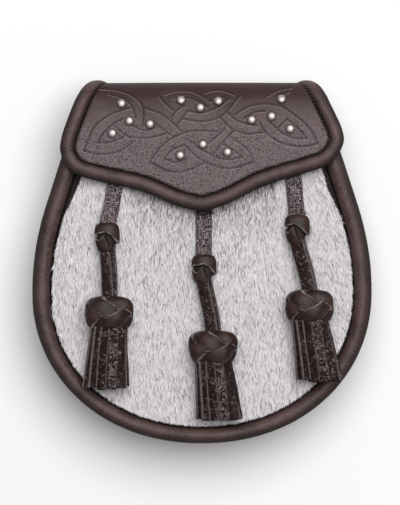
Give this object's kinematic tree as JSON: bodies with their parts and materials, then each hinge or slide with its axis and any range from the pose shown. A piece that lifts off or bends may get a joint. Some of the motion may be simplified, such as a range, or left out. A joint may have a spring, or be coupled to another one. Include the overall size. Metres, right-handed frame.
{
  "type": "sporran pouch",
  "caption": "Kilt sporran: flat leather pouch with a hair-on hide front, a tooled and studded flap, a rolled leather border and leather tassels, lying on its back.",
  "frame": {"origin": "under the middle of the pouch's outline, on the surface that its rear edge rests on", "axes": "+Z out of the hair front, +Y towards the flap's fold at the top, +X to the right as seen from the front"},
  "size_m": [0.1944, 0.2085, 0.0591],
  "materials": {
    "body_leather": "smooth, semi-matt, rolled and lightly polished along the roll",
    "back_leather": "plain smooth, matt",
    "tooled_leather": "fine pored grain with tooled interlace, semi-matt",
    "thong_leather": "pebble grained, shiny, raw cut edges",
    "knot_leather": "smooth, woven in bands",
    "hair_hide": "short straight hair, silver grey with darker flecks",
    "nickel": "polished dome"
  },
  "bodies": {
    "root": {"back_panel": "back_leather", "gusset": "body_leather", "front_panel": "hair_hide", "front_piping": "body_leather", "flap": "tooled_leather", "flap_binding": "body_leather", "stud_01": "nickel", "stud_02": "nickel", "stud_03": "nickel", "stud_04": "nickel", "stud_05": "nickel", "stud_06": "nickel", "stud_07": "nickel", "stud_08": "nickel", "stud_09": "nickel", "stud_10": "nickel", "stud_11": "nickel", "stud_12": "nickel", "stud_13": "nickel", "stud_14": "nickel", "left_strap_upper": "thong_leather", "left_strap_knot": "thong_leather", "left_strap_lower": "thong_leather", "left_tassel_head": "knot_leather", "left_tassel_fringe": "thong_leather", "middle_strap_upper": "thong_leather", "middle_strap_knot": "thong_leather", "middle_strap_lower": "thong_leather", "middle_tassel_head": "knot_leather", "middle_tassel_fringe": "thong_leather", "right_strap_upper": "thong_leather", "right_strap_knot": "thong_leather", "right_strap_lower": "thong_leather", "right_tassel_head": "knot_leather", "right_tassel_fringe": "thong_leather", "strap_loop_left": "back_leather", "strap_loop_right": "back_leather"}
  },
  "joints": []
}
